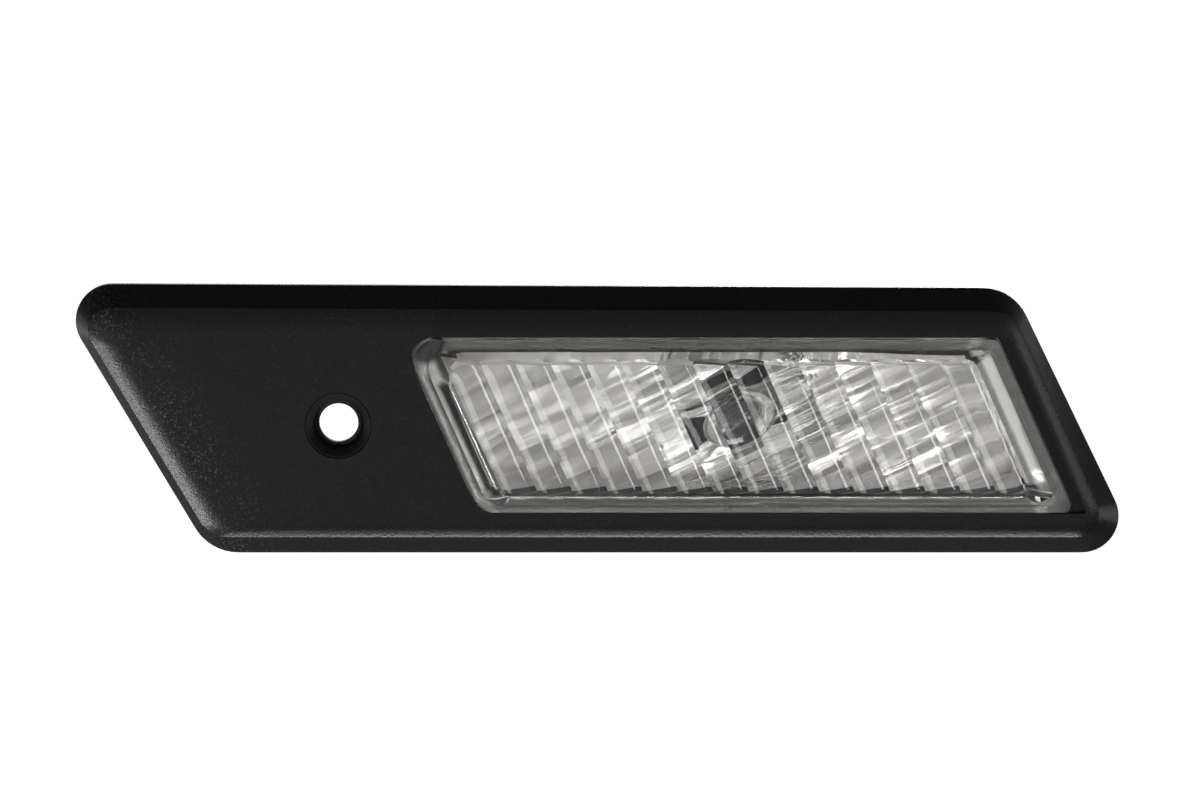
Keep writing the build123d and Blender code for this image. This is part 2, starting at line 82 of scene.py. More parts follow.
def finish_material(tree, shader):
    """Join the shader to the output."""
    node(tree, "ShaderNodeOutputMaterial", {"Surface": shader.outputs["BSDF"]})


def dress(name, material, sharp):
    """Give a CAD node its material, and smooth it except at edges sharper than an angle."""
    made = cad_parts[name]
    made.data.materials.clear()
    made.data.materials.append(material)
    made.data.polygons.foreach_set("use_smooth", [True] * len(made.data.polygons))
    weld = made.modifiers.new("weld", "WELD")
    weld.merge_threshold = 0.002 * MM
    split = made.modifiers.new("edges", "EDGE_SPLIT")
    split.split_angle = math.radians(sharp)
    return made


# The coat follows the moulding, so it is a mirror that is a little wavy and hazy, with bare grey at the rim.
# It lies thinner and duller on the wing near the screw.
rim_back = -2.95 * MM
bulb_x = 56.2 * MM
lens_slant = math.radians(24)
mouth_middle = 50.69 * MM
mouth_half_length = 33.45 * MM
mouth_half_height = 9.1 * MM
# Centre of the painted shade patch in the upper left corner of the rim.
painted_shade_corner = (13.1 * MM, -3 * MM, 10.3 * MM)
aluminium, tree, place = new_material("vacuum_metallised_aluminium")
spot = node(tree, "ShaderNodeSeparateXYZ", {"Vector": place})
rim = node(tree, "ShaderNodeMath", {0: spot.outputs["Y"], 1: rim_back}, operation="LESS_THAN")
bulb_axis = node(tree, "ShaderNodeMapping", {
    "Vector": place, "Location": (-bulb_x, 0.0, 0.0), "Scale": (1.0, 0.0, 1.0)})
away = node(tree, "ShaderNodeVectorMath", {0: bulb_axis.outputs["Vector"]}, operation="LENGTH")
bowl = node(tree, "ShaderNodeMapRange", {
    "Value": away.outputs["Value"], "From Min": 10 * MM, "From Max": 20 * MM, "To Min": 1.0, "To Max": 0.35})
sag = node(tree, "ShaderNodeTexNoise", {
    "Vector": place, "Scale": 1 / (4.4 * MM), "Detail": 3.0, "Roughness": 0.42, "Distortion": 1.2})
wave = node(tree, "ShaderNodeMath", {0: sag.outputs["Fac"], 1: bowl.outputs["Result"]}, operation="MULTIPLY")
warp = node(tree, "ShaderNodeTexNoise", {"Vector": place, "Scale": 1 / (14 * MM), "Detail": 0.0})
bent = node(tree, "ShaderNodeBump", {"Height": warp.outputs["Fac"], "Strength": 1.0, "Distance": 2.2 * MM})
bump = node(tree, "ShaderNodeBump", {
    "Height": wave.outputs["Value"], "Strength": 1.0, "Distance": 1.25 * MM,
    "Normal": bent.outputs["Normal"]})
haze = node(tree, "ShaderNodeTexNoise", {"Vector": place, "Scale": 1 / (7 * MM), "Detail": 4.0})
cloud = node(tree, "ShaderNodeMapRange", {"Value": haze.outputs["Fac"], "To Min": 0.17, "To Max": 0.3})
near_wing = node(tree, "ShaderNodeMapRange", {
    "Value": spot.outputs["X"], "From Min": 52 * MM, "From Max": 36 * MM})
dull = node(tree, "ShaderNodeMath", {
    0: near_wing.outputs["Result"], 1: 0.15, 2: cloud.outputs["Result"]}, operation="MULTIPLY_ADD")
rough = node(tree, "ShaderNodeMix", {
    "Factor": rim.outputs["Value"], "A": dull.outputs["Value"], "B": 0.4}, data_type="FLOAT")
across = node(tree, "ShaderNodeVectorMath", {
    0: place, 1: (math.cos(lens_slant), 0.0, math.sin(lens_slant))}, operation="DOT_PRODUCT")
centred = node(tree, "ShaderNodeMath", {0: across.outputs["Value"], 1: mouth_middle}, operation="SUBTRACT")
reach = node(tree, "ShaderNodeMath", {0: centred.outputs["Value"]}, operation="ABSOLUTE")
past_end = node(tree, "ShaderNodeMath", {
    0: reach.outputs["Value"], 1: mouth_half_length}, operation="SUBTRACT")
level = node(tree, "ShaderNodeMath", {0: spot.outputs["Z"]}, operation="ABSOLUTE")
past_side = node(tree, "ShaderNodeMath", {
    0: level.outputs["Value"], 1: mouth_half_height}, operation="SUBTRACT")
past_mouth = node(tree, "ShaderNodeMath", {
    0: past_end.outputs["Value"], 1: past_side.outputs["Value"]}, operation="MAXIMUM")
# Painted shade: a dark line on the rim round the mouth, and a dark patch in its upper left corner.
painted_shade_line = node(tree, "ShaderNodeMapRange", {
    "Value": past_mouth.outputs["Value"], "From Min": 0.6 * MM, "From Max": 1.0 * MM,
    "To Min": 1.0, "To Max": 0.0})
offset = node(tree, "ShaderNodeVectorMath", {0: place, 1: painted_shade_corner}, operation="DISTANCE")
corner_shade_patch = node(tree, "ShaderNodeMapRange", {
    "Value": offset.outputs["Value"], "From Min": 1.6 * MM, "From Max": 2.6 * MM,
    "To Min": 1.0, "To Max": 0.0})
painted_mouth_shade = node(tree, "ShaderNodeMath", {
    0: painted_shade_line.outputs["Result"], 1: corner_shade_patch.outputs["Result"]}, operation="MAXIMUM")
crept_in = node(tree, "ShaderNodeMapRange", {
    "Value": past_end.outputs["Value"], "From Min": 0.9 * MM, "From Max": 1.3 * MM})
crept_out = node(tree, "ShaderNodeMapRange", {
    "Value": past_end.outputs["Value"], "From Min": 2.2 * MM, "From Max": 2.8 * MM,
    "To Min": 1.0, "To Max": 0.0})
band = node(tree, "ShaderNodeMath", {
    0: crept_in.outputs["Result"], 1: crept_out.outputs["Result"]}, operation="MULTIPLY")
clear = node(tree, "ShaderNodeMath", {0: 1.0, 1: painted_mouth_shade.outputs["Value"]}, operation="SUBTRACT")
crept = node(tree, "ShaderNodeMath", {
    0: band.outputs["Value"], 1: clear.outputs["Value"]}, operation="MULTIPLY")
metal = node(tree, "ShaderNodeMix", {
    "Factor": rim.outputs["Value"], "A": 1.0, "B": crept.outputs["Value"]}, data_type="FLOAT")
along = node(tree, "ShaderNodeMapping", {"Vector": place, "Scale": (0.12, 1.0, 1.0)})
streak = node(tree, "ShaderNodeTexNoise", {
    "Vector": along.outputs["Vector"], "Scale": 1 / (1.6 * MM), "Detail": 3.0})
bare = node(tree, "ShaderNodeMix", {
    "Factor": streak.outputs["Fac"], "A": srgb("#7f7c79"), "B": srgb("#cfccc7")}, data_type="RGBA")
# The rim's bare grey takes the dark painted shade colour along the mouth and in the corner.
rim_with_painted_shade = node(tree, "ShaderNodeMix", {
    "Factor": painted_mouth_shade.outputs["Value"], "A": bare.outputs["Result"], "B": srgb("#262523")}, data_type="RGBA")
edge = node(tree, "ShaderNodeMix", {
    "Factor": crept.outputs["Value"], "A": rim_with_painted_shade.outputs["Result"], "B": srgb("#f1efec")}, data_type="RGBA")
bright = node(tree, "ShaderNodeMix", {
    "Factor": near_wing.outputs["Result"], "A": srgb("#f7f5f2"), "B": srgb("#eae8e5")}, data_type="RGBA")
tone = node(tree, "ShaderNodeMix", {
    "Factor": rim.outputs["Value"], "A": bright.outputs["Result"],
    "B": edge.outputs["Result"]}, data_type="RGBA")
coat = node(tree, "ShaderNodeBsdfPrincipled", {
    "Base Color": tone.outputs["Result"], "Metallic": metal.outputs["Result"],
    "Roughness": rough.outputs["Result"], "Normal": bump.outputs["Normal"]})
finish_material(tree, coat)
dress("reflector", aluminium, 35)

# Housing: the box behind the lens, moulded in black polypropylene. The lens is welded to its flange,
# and a tongue at the far end hooks behind the panel.
# The mould was spark-eroded, which leaves a fine dull grain, drawn coarser than it is so that it shows,
# with paler flow streaks along the box.
polypropylene, tree, place = new_material("moulded_black_polypropylene")
grain = node(tree, "ShaderNodeTexNoise", {"Vector": place, "Scale": 1 / (0.35 * MM), "Detail": 3.0})
bump = node(tree, "ShaderNodeBump", {"Height": grain.outputs["Fac"], "Strength": 0.35, "Distance": 0.05 * MM})
along = node(tree, "ShaderNodeMapping", {"Vector": place, "Scale": (0.25, 1.0, 1.0)})
flow = node(tree, "ShaderNodeTexNoise", {
    "Vector": along.outputs["Vector"], "Scale": 1 / (5 * MM), "Detail": 3.0})
shade = node(tree, "ShaderNodeMix", {
    "Factor": flow.outputs["Fac"], "A": srgb("#262628"), "B": srgb("#3a3a3d")}, data_type="RGBA")
dull = node(tree, "ShaderNodeMapRange", {"Value": flow.outputs["Fac"], "To Min": 0.42, "To Max": 0.58})
shell = node(tree, "ShaderNodeBsdfPrincipled", {
    "Base Color": shade.outputs["Result"], "Roughness": dull.outputs["Result"], "IOR": 1.49,
    "Normal": bump.outputs["Normal"]})
finish_material(tree, shell)
dress("housing", polypropylene, 30)

# Lens: a clear cap moulded in acrylic, with flutes on its inside, welded by its flange to the housing.
# It is drawn a hundredth of a millimetre smaller all round, so that light passes between it and the rim.
# Polished mould faces leave clear, glossy walls with a faint ripple where the melt cooled.
acrylic, tree, place = new_material("moulded_clear_acrylic")
ripple = node(tree, "ShaderNodeTexNoise", {"Vector": place, "Scale": 1 / (3.2 * MM), "Detail": 1.0})
bump = node(tree, "ShaderNodeBump", {"Height": ripple.outputs["Fac"], "Strength": 0.05, "Distance": 0.2 * MM})
film = node(tree, "ShaderNodeTexNoise", {"Vector": place, "Scale": 1 / (9 * MM), "Detail": 5.0})
dull = node(tree, "ShaderNodeMapRange", {"Value": film.outputs["Fac"], "To Min": 0.0, "To Max": 0.02})
cap = node(tree, "ShaderNodeBsdfPrincipled", {
    "Base Color": srgb("#fdfdfc"), "Roughness": dull.outputs["Result"], "IOR": 1.49,
    "Transmission Weight": 1.0, "Normal": bump.outputs["Normal"]})
finish_material(tree, cap)
cover = dress("lens", acrylic, 20)
fit = cover.modifiers.new("fit", "DISPLACE")
fit.strength = -0.01 * MM
fit.mid_level = 0.0

# Bezel: the frame moulded in black ABS, with a rolled front edge, a sunk screw boss and ribs behind.
# Six snap fingers behind the window hold the flange of the lamp.
# A satin mould face gives a soft sheen. Fine pale specks are painted glints of the grain under the light from
# the lower left, so they show most beside the left edge.
# Its grain and specks are drawn coarser than they are, to show. The screw recess has a duller mould face.
left_edge_slant = math.radians(29.4)
recess_radius = 4.5 * MM
recess_dull_radius = 4.4 * MM
recess_dulling = 0.35
abs_satin, tree, place = new_material("moulded_black_abs")
grain = node(tree, "ShaderNodeTexNoise", {"Vector": place, "Scale": 1 / (0.35 * MM), "Detail": 2.0})
bump = node(tree, "ShaderNodeBump", {"Height": grain.outputs["Fac"], "Strength": 0.5, "Distance": 0.05 * MM})
# Painted glints: pale specks in the base colour, strongest beside the left edge where the light from the
# lower left catches the grain.
painted_glint_noise = node(tree, "ShaderNodeTexNoise", {
    "Vector": place, "Scale": 1 / (0.32 * MM), "Detail": 2.0, "Roughness": 0.6})
painted_glint = node(tree, "ShaderNodeMapRange", {
    "Value": painted_glint_noise.outputs["Fac"], "From Min": 0.56, "From Max": 0.7, "To Min": 0.0, "To Max": 1.0})
glint_patch_noise = node(tree, "ShaderNodeTexNoise", {"Vector": place, "Scale": 1 / (5 * MM), "Detail": 4.0})
spread = node(tree, "ShaderNodeMapRange", {
    "Value": glint_patch_noise.outputs["Fac"], "From Min": 0.3, "From Max": 0.62, "To Min": 0.35, "To Max": 1.0})
inward = node(tree, "ShaderNodeVectorMath", {
    0: place, 1: (math.cos(left_edge_slant), 0.0, math.sin(left_edge_slant))}, operation="DOT_PRODUCT")
glint_near_left_edge = node(tree, "ShaderNodeMapRange", {
    "Value": inward.outputs["Value"], "From Min": -22 * MM, "From Max": -13 * MM,
    "To Min": 1.0, "To Max": 0.14}, interpolation_type="SMOOTHSTEP")
glint_place = node(tree, "ShaderNodeMath", {
    0: spread.outputs["Result"], 1: glint_near_left_edge.outputs["Result"]}, operation="MULTIPLY")
painted_glints = node(tree, "ShaderNodeMath", {
    0: painted_glint.outputs["Result"], 1: glint_place.outputs["Value"]}, operation="MULTIPLY")
# Black base colour with the painted glints as pale specks.
shade = node(tree, "ShaderNodeMix", {
    "Factor": painted_glints.outputs["Value"], "A": srgb("#060607"), "B": srgb("#4d4e53")}, data_type="RGBA")
wipe = node(tree, "ShaderNodeTexNoise", {"Vector": place, "Scale": 1 / (14 * MM), "Detail": 3.0})
sheen = node(tree, "ShaderNodeMapRange", {"Value": wipe.outputs["Fac"], "To Min": 0.25, "To Max": 0.3})
screw_axis = node(tree, "ShaderNodeMapping", {"Vector": place, "Scale": (1.0, 0.0, 1.0)})
off_screw = node(tree, "ShaderNodeVectorMath", {0: screw_axis.outputs["Vector"]}, operation="LENGTH")
recess = node(tree, "ShaderNodeMapRange", {
    "Value": off_screw.outputs["Value"], "From Min": recess_radius, "From Max": recess_dull_radius})
dull = node(tree, "ShaderNodeMath", {
    0: recess.outputs["Result"], 1: recess_dulling, 2: sheen.outputs["Result"]}, operation="MULTIPLY_ADD")
skin = node(tree, "ShaderNodeBsdfPrincipled", {
    "Base Color": shade.outputs["Result"], "Roughness": dull.outputs["Value"], "IOR": 1.53,
    "Specular IOR Level": 0.27, "Normal": bump.outputs["Normal"]})
finish_material(tree, skin)
dress("bezel", abs_satin, 19)

# Panel gasket: a ring cut from closed-cell rubber foam, laid behind the rim of the bezel.
# The cut cells leave a dull, pitted face.
foam, tree, place = new_material("die_cut_rubber_foam")
cells = node(tree, "ShaderNodeTexVoronoi", {"Vector": place, "Scale": 1 / (0.4 * MM)})
bump = node(tree, "ShaderNodeBump", {
    "Height": cells.outputs["Distance"], "Strength": 0.8, "Distance": 0.15 * MM})
shade = node(tree, "ShaderNodeMix", {
    "Factor": cells.outputs["Distance"], "A": srgb("#0d0d0d"), "B": srgb("#29292a")}, data_type="RGBA")
ring = node(tree, "ShaderNodeBsdfPrincipled", {
    "Base Color": shade.outputs["Result"], "Roughness": 0.9, "IOR": 1.5, "Specular IOR Level": 0.3,
    "Normal": bump.outputs["Normal"]})
finish_material(tree, ring)
dress("panel_gasket", foam, 30)

# Lead wires: nickel-iron wire drawn through a die, sealed in the pinch of the bulb and folded up along it.
# Drawing leaves a soft metal shine, with darker patches where the flame of the seal has touched.
nickel, tree, place = new_material("drawn_nickel_iron_wire")
burn = node(tree, "ShaderNodeTexNoise", {"Vector": place, "Scale": 1 / (1.5 * MM), "Detail": 3.0})
shade = node(tree, "ShaderNodeMix", {
    "Factor": burn.outputs["Fac"], "A": srgb("#b3a99c"), "B": srgb("#857b70")}, data_type="RGBA")
dull = node(tree, "ShaderNodeMapRange", {"Value": burn.outputs["Fac"], "To Min": 0.22, "To Max": 0.42})
strand = node(tree, "ShaderNodeBsdfPrincipled", {
    "Base Color": shade.outputs["Result"], "Metallic": 1.0, "Roughness": dull.outputs["Result"]})
finish_material(tree, strand)
dress("lead_wire_left", nickel, 40)
dress("lead_wire_right", nickel, 40)

# Filament: fine tungsten wire wound into a coil, held between the ends of the lead wires.
# It takes the place of the plain rod, inside the same outline.
coil_low, coil_high = (Vector(corner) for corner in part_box("filament"))
coil_middle = (coil_low + coil_high) / 2
coil_wire = 0.13 * MM
coil_turns = 13
turn_steps = 14
coil_radius = (coil_high.z - coil_low.z) / 2 - coil_wire / 2
coil_length = coil_high.x - coil_low.x - coil_wire
coil_mesh = bmesh.new()
section = bmesh.ops.create_circle(coil_mesh, segments=8, radius=coil_wire / 2)["verts"]
bmesh.ops.rotate(coil_mesh, verts=section, cent=(0, 0, 0), matrix=Matrix.Rotation(math.radians(90), 3, "Y"))
bmesh.ops.rotate(coil_mesh, verts=section, cent=(0, 0, 0), matrix=Matrix.Rotation(math.radians(90), 3, "Z"))
start = Vector((coil_low.x + coil_wire / 2, coil_middle.y, coil_middle.z + coil_radius))
bmesh.ops.translate(coil_mesh, verts=section, vec=start)
steps = turn_steps * coil_turns
bmesh.ops.spin(
    coil_mesh, geom=coil_mesh.verts[:] + coil_mesh.edges[:], cent=coil_middle, axis=(1, 0, 0),
    dvec=(coil_length / steps, 0, 0), angle=2 * math.pi * coil_turns, steps=steps, use_merge=False)
bmesh.ops.holes_fill(coil_mesh, edges=[edge for edge in coil_mesh.edges if edge.is_boundary])
bmesh.ops.recalc_face_normals(coil_mesh, faces=coil_mesh.faces)


def new_piece(name, shape, material):
    """Make a smooth object of a mesh, with its material, riding on the lamp."""
    made = bpy.data.objects.new(name, bpy.data.meshes.new(name))
    shape.to_mesh(made.data)
    shape.free()
    made.data.polygons.foreach_set("use_smooth", [True] * len(made.data.polygons))
    made.data.materials.append(material)
    bpy.context.scene.collection.objects.link(made)
    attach(made, "root")
    return made


# Tungsten drawn this fine is a dark, silky grey.
tungsten, tree, place = new_material("drawn_tungsten_wire")
frost = node(tree, "ShaderNodeTexNoise", {"Vector": place, "Scale": 1 / (0.3 * MM), "Detail": 2.0})
shade = node(tree, "ShaderNodeMix", {
    "Factor": frost.outputs["Fac"], "A": srgb("#5c5b5d"), "B": srgb("#8b898a")}, data_type="RGBA")
thread = node(tree, "ShaderNodeBsdfPrincipled", {
    "Base Color": shade.outputs["Result"], "Metallic": 1.0, "Roughness": 0.35})
finish_material(tree, thread)
coil = new_piece("filament_coil", coil_mesh, tungsten)
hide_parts("filament")

# Bulb bead: a bar of glass pressed round both lead wires, which keeps them apart.
# Pressed hot between jaws, so it is clear but seedy, with soft dents.
bead_glass, tree, place = new_material("pressed_clear_glass")
dents = node(tree, "ShaderNodeTexNoise", {"Vector": place, "Scale": 1 / (0.8 * MM), "Detail": 2.0})
bump = node(tree, "ShaderNodeBump", {"Height": dents.outputs["Fac"], "Strength": 0.3, "Distance": 0.15 * MM})
bar = node(tree, "ShaderNodeBsdfPrincipled", {
    "Base Color": srgb("#eef3ef"), "Roughness": 0.04, "IOR": 1.52, "Transmission Weight": 1.0,
    "Normal": bump.outputs["Normal"]})
finish_material(tree, bar)
dress("bulb_bead", bead_glass, 40)

# Bulb glass: a tube of clear glass, blown to a round tip and closed by a flat pinch that the lead wires
# pass through. It takes the place of the solid with bands, with the same tip, width and pinch.
glass_low, glass_high = (Vector(corner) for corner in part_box("bulb_glass"))
glass_x = (glass_low.x + glass_high.x) / 2
glass_radius = (glass_high.x - glass_low.x) / 2
pinch_foot = glass_high.y
pinch_length = 7.4 * MM
pinch_top = pinch_foot - pinch_length
pinch_half_width = 4.7 * MM
pinch_half_thick = 1.25 * MM
glass_wall = 0.8 * MM


def glass_shell(shape, rings, tip):
    """Close a shell over rings of half width, half height and depth along the bulb."""
    loop = bmesh.ops.create_circle(shape, segments=48, radius=1.0)["verts"]
    bmesh.ops.rotate(shape, verts=loop, cent=(0, 0, 0), matrix=Matrix.Rotation(math.radians(90), 3, "X"))
    bmesh.ops.scale(shape, verts=loop, vec=(rings[0][0], 1.0, rings[0][1]))
    bmesh.ops.translate(shape, verts=loop, vec=(glass_x, rings[0][2], 0))
    edges = list({edge for vert in loop for edge in vert.link_edges})
    first = edges
    for before, ring in zip(rings, rings[1:]):
        grown = bmesh.ops.extrude_edge_only(shape, edges=edges)["geom"]
        edges = [part for part in grown if isinstance(part, bmesh.types.BMEdge) and part.is_boundary]
        verts = list({vert for edge in edges for vert in edge.verts})
        bmesh.ops.translate(shape, verts=verts, vec=(-glass_x, 0, 0))
        bmesh.ops.scale(shape, verts=verts, vec=(ring[0] / before[0], 1.0, ring[1] / before[1]))
        bmesh.ops.translate(shape, verts=verts, vec=(glass_x, ring[2] - before[2], 0))
    bmesh.ops.holes_fill(shape, edges=edges)
    cap = bmesh.ops.extrude_edge_only(shape, edges=first)["geom"]
    verts = [part for part in cap if isinstance(part, bmesh.types.BMVert)]
    bmesh.ops.pointmerge(shape, verts=verts, merge_co=(glass_x, tip, 0))


def dome_rings(radius, tip):
    """Rings of a round tip, from near the point to the full width."""
    turns = [math.radians(10 * turn) for turn in range(1, 10)]
    return [(radius * math.sin(t), radius * math.sin(t), tip + radius * (1 - math.cos(t))) for t in turns]


outer = dome_rings(glass_radius, glass_low.y)
outer.append((glass_radius, glass_radius, pinch_top - 2.6 * MM))
outer.append((4.9 * MM, 3.9 * MM, pinch_top - 1.2 * MM))
outer.append((4.75 * MM, 2.2 * MM, pinch_top - 0.2 * MM))
outer.append((pinch_half_width, pinch_half_thick, pinch_top + 0.8 * MM))
outer.append((pinch_half_width, pinch_half_thick, pinch_foot))
inner = dome_rings(glass_radius - glass_wall, glass_low.y + glass_wall)
inner.append((glass_radius - glass_wall, glass_radius - glass_wall, pinch_top - 3.2 * MM))
inner.append((3.6 * MM, 2.6 * MM, pinch_top - 2.4 * MM))
inner.append((2.8 * MM, 0.8 * MM, pinch_top - 1.6 * MM))
glass_mesh = bmesh.new()
glass_shell(glass_mesh, outer, glass_low.y)
bmesh.ops.recalc_face_normals(glass_mesh, faces=glass_mesh.faces)
hollow = bmesh.new()
glass_shell(hollow, inner, glass_low.y + glass_wall)
bmesh.ops.recalc_face_normals(hollow, faces=hollow.faces)
bmesh.ops.reverse_faces(hollow, faces=hollow.faces)
inside = bpy.data.meshes.new("bulb_hollow")
hollow.to_mesh(inside)
hollow.free()
glass_mesh.from_mesh(inside)

# Blown glass is clear and glossy, with slow waves where the tube was drawn.
glass, tree, place = new_material("blown_clear_glass")
drawn = node(tree, "ShaderNodeTexNoise", {"Vector": place, "Scale": 1 / (4 * MM), "Detail": 1.0})
bump = node(tree, "ShaderNodeBump", {"Height": drawn.outputs["Fac"], "Strength": 0.1, "Distance": 0.2 * MM})
wall = node(tree, "ShaderNodeBsdfPrincipled", {
    "Base Color": srgb("#fbfdfc"), "Roughness": 0.0, "IOR": 1.52, "Transmission Weight": 1.0,
    "Normal": bump.outputs["Normal"]})
finish_material(tree, wall)
bulb = new_piece("bulb_envelope", glass_mesh, glass)
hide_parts("bulb_glass")

# Contacts: two sprung strips stamped from tinned brass. They press on the folded wires at one end
# and end as blades in the plug shroud at the other.
# Tin over rolled brass is a soft grey-gold, with fine lines along the strip, drawn coarser than they are.
brass, tree, place = new_material("stamped_tinned_brass")
along = node(tree, "ShaderNodeMapping", {"Vector": place, "Scale": (1.0, 0.04, 1.0)})
lines = node(tree, "ShaderNodeTexNoise", {
    "Vector": along.outputs["Vector"], "Scale": 1 / (0.25 * MM), "Detail": 2.0})
bump = node(tree, "ShaderNodeBump", {"Height": lines.outputs["Fac"], "Strength": 0.25, "Distance": 0.03 * MM})
shade = node(tree, "ShaderNodeMix", {
    "Factor": lines.outputs["Fac"], "A": srgb("#cfc6ab"), "B": srgb("#b39c62")}, data_type="RGBA")
dull = node(tree, "ShaderNodeMapRange", {"Value": lines.outputs["Fac"], "To Min": 0.2, "To Max": 0.4})
strip = node(tree, "ShaderNodeBsdfPrincipled", {
    "Base Color": shade.outputs["Result"], "Metallic": 1.0, "Roughness": dull.outputs["Result"],
    "Normal": bump.outputs["Normal"]})
finish_material(tree, strip)
dress("contact_upper", brass, 20)
dress("contact_lower", brass, 20)

# Bulb holder: moulded in black polyamide with glass fibre. It twists into the collar of the housing,
# and has a grip bar and a plug shroud behind.
# The fibres come to the surface as fine pale flecks on a dull skin, drawn coarser than they are.
polyamide, tree, place = new_material("moulded_glass_filled_polyamide")
along = node(tree, "ShaderNodeMapping", {"Vector": place, "Scale": (1.0, 0.3, 1.0)})
fibres = node(tree, "ShaderNodeTexNoise", {
    "Vector": along.outputs["Vector"], "Scale": 1 / (0.4 * MM), "Detail": 4.0})
bump = node(tree, "ShaderNodeBump", {"Height": fibres.outputs["Fac"], "Strength": 0.3, "Distance": 0.05 * MM})
pale = node(tree, "ShaderNodeMapRange", {
    "Value": fibres.outputs["Fac"], "From Min": 0.5, "From Max": 0.75, "To Min": 0.0, "To Max": 1.0})
shade = node(tree, "ShaderNodeMix", {
    "Factor": pale.outputs["Result"], "A": srgb("#2a2a2b"), "B": srgb("#4a4a4c")}, data_type="RGBA")
socket = node(tree, "ShaderNodeBsdfPrincipled", {
    "Base Color": shade.outputs["Result"], "Roughness": 0.5, "IOR": 1.53, "Normal": bump.outputs["Normal"]})
finish_material(tree, socket)
dress("bulb_holder", polyamide, 30)

# Holder seal: a ring moulded in black rubber, pressed between the holder and the end of the collar.
# Wax blooms to the surface of the rubber and leaves it dull and faintly mottled.
rubber, tree, place = new_material("moulded_black_rubber")
bloom = node(tree, "ShaderNodeTexNoise", {"Vector": place, "Scale": 1 / (2.5 * MM), "Detail": 4.0})
shade = node(tree, "ShaderNodeMix", {
    "Factor": bloom.outputs["Fac"], "A": srgb("#0e0e0e"), "B": srgb("#1f1f1f")}, data_type="RGBA")
dull = node(tree, "ShaderNodeMapRange", {"Value": bloom.outputs["Fac"], "To Min": 0.5, "To Max": 0.75})
lip = node(tree, "ShaderNodeBsdfPrincipled", {
    "Base Color": shade.outputs["Result"], "Roughness": dull.outputs["Result"], "IOR": 1.5})
finish_material(tree, lip)
dress("holder_seal", rubber, 30)

# Floor: a wide sheet of matt white paper, well below the lamp. It glows with painted light, stronger
# further back, and is held dim near the lamp and in one corner behind it on the left as painted shade,
# so that the black edges keep dark reflections.
floor_level = -0.45
floor_reach = 12.0
dark_reach, lit_reach = 1.2, 1.85
dim_way = Vector((-0.88, 0.47, 0.0))
dim_edge, dim_core = 0.945, 0.985
dim_share = 0.25
floor_mesh = bmesh.new()
bmesh.ops.create_grid(floor_mesh, x_segments=1, y_segments=1, size=floor_reach)
bmesh.ops.translate(floor_mesh, vec=(0, 0, floor_level), verts=floor_mesh.verts)
floor = bpy.data.objects.new("floor", bpy.data.meshes.new("floor"))
floor_mesh.to_mesh(floor.data)
floor_mesh.free()
bpy.context.scene.collection.objects.link(floor)
# Paper is matt, with a faint mottle of its fibres, drawn coarser than it is.
paper, tree, place = new_material("matt_white_paper_with_painted_glow")
fibre = node(tree, "ShaderNodeTexNoise", {"Vector": place, "Scale": 1 / (8 * MM), "Detail": 3.0})
shade = node(tree, "ShaderNodeMix", {
    "Factor": fibre.outputs["Fac"], "A": srgb("#dadada"), "B": srgb("#dedede")}, data_type="RGBA")
flat = node(tree, "ShaderNodeMapping", {"Vector": place, "Scale": (1.0, 1.0, 0.0)})
away = node(tree, "ShaderNodeVectorMath", {0: flat.outputs["Vector"]}, operation="LENGTH")
outside = node(tree, "ShaderNodeMapRange", {
    "Value": away.outputs["Value"], "From Min": dark_reach, "From Max": lit_reach},
    interpolation_type="SMOOTHSTEP")
spot = node(tree, "ShaderNodeSeparateXYZ", {"Vector": place})
depth = node(tree, "ShaderNodeMapRange", {
    "Value": spot.outputs["Y"], "From Min": -1.2, "From Max": 0.6, "To Min": 0.46, "To Max": 0.94})
full = node(tree, "ShaderNodeMath", {
    0: outside.outputs["Result"], 1: depth.outputs["Result"]}, operation="MULTIPLY")
way = node(tree, "ShaderNodeVectorMath", {0: flat.outputs["Vector"]}, operation="NORMALIZE")
facing = node(tree, "ShaderNodeVectorMath", {0: way.outputs["Vector"], 1: dim_way}, operation="DOT_PRODUCT")
dimmed = node(tree, "ShaderNodeMapRange", {
    "Value": facing.outputs["Value"], "From Min": dim_edge, "From Max": dim_core,
    "To Min": 1.0, "To Max": dim_share}, interpolation_type="SMOOTHSTEP")
# Painted light: the strength of the paper's glow, with painted shade near the lamp and in the dim corner.
painted_floor_glow = node(tree, "ShaderNodeMath", {
    0: full.outputs["Value"], 1: dimmed.outputs["Result"]}, operation="MULTIPLY")
sheet = node(tree, "ShaderNodeBsdfPrincipled", {
    "Base Color": shade.outputs["Result"], "Roughness": 0.9, "Specular IOR Level": 0.1,
    "Emission Color": srgb("#ffffff"), "Emission Strength": painted_floor_glow.outputs["Value"]})
finish_material(tree, sheet)
floor.data.materials.append(paper)

